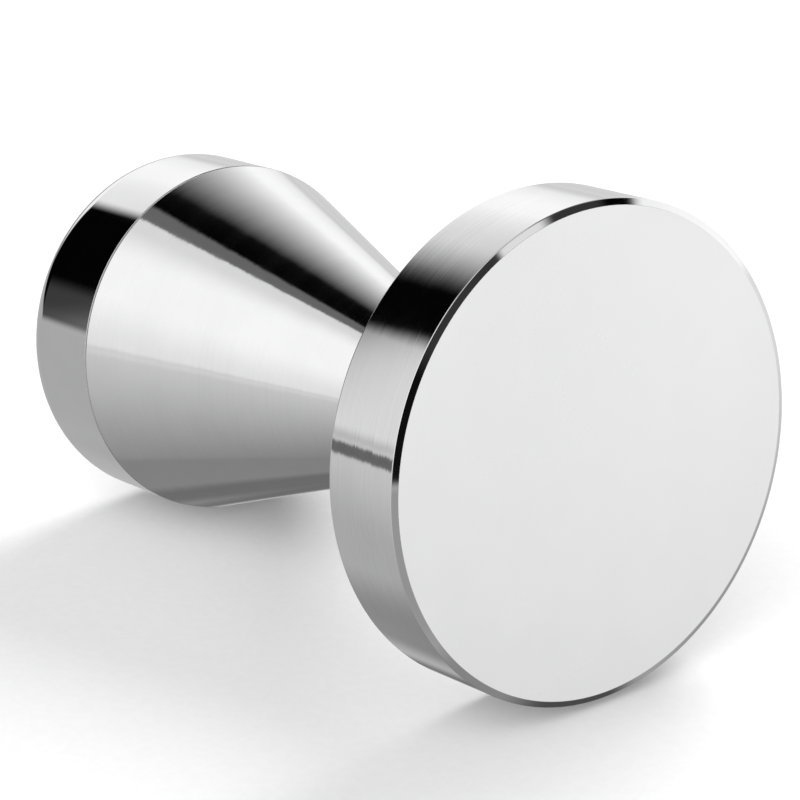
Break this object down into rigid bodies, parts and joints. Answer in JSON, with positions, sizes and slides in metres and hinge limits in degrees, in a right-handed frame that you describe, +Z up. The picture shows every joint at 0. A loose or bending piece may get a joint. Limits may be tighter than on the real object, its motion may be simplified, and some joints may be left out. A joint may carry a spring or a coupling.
{
  "type": "espresso tamper",
  "caption": "Stainless steel espresso tamper: thick flat round base with a chamfered edge, slim neck and a conical handle with a polished band and flat end cap that unscrews from the base.",
  "frame": {"origin": "centre of the tamping face, the flat underside of the base", "axes": "+Z up the tamper's axis from the tamping face to the end of the handle; X and Y lie in the tamping face"},
  "size_m": [0.058, 0.058, 0.0845],
  "materials": {
    "base_steel": "turned and brushed wall, polished chamfer, satin tamping face",
    "washer_nylon": "natural nylon",
    "handle_steel": "fine satin turned cone",
    "cap_steel": "mirror polished",
    "stud_steel": "plain machined"
  },
  "bodies": {
    "base": {"base_disc": "base_steel"},
    "seal": {"seal_washer": "washer_nylon"},
    "handle": {"handle_body": "handle_steel", "handle_cap": "cap_steel", "joining_stud": "stud_steel"}
  },
  "joints": [
    {"name": "handle_unscrew", "type": "hinge", "parent": "base", "child": "seal", "pos_m": [0, 0, 0.0112], "axis": [0, 0, 1], "range_deg": [0, 2340]},
    {"name": "handle_lift", "type": "slide", "parent": "seal", "child": "handle", "axis": [0, 0, 1], "range_m": [0, 0.00813]}
  ],
  "couplings": [
    {"joint": "handle_lift", "follows": "handle_unscrew", "m_per_rad": 0.00019894}
  ]
}
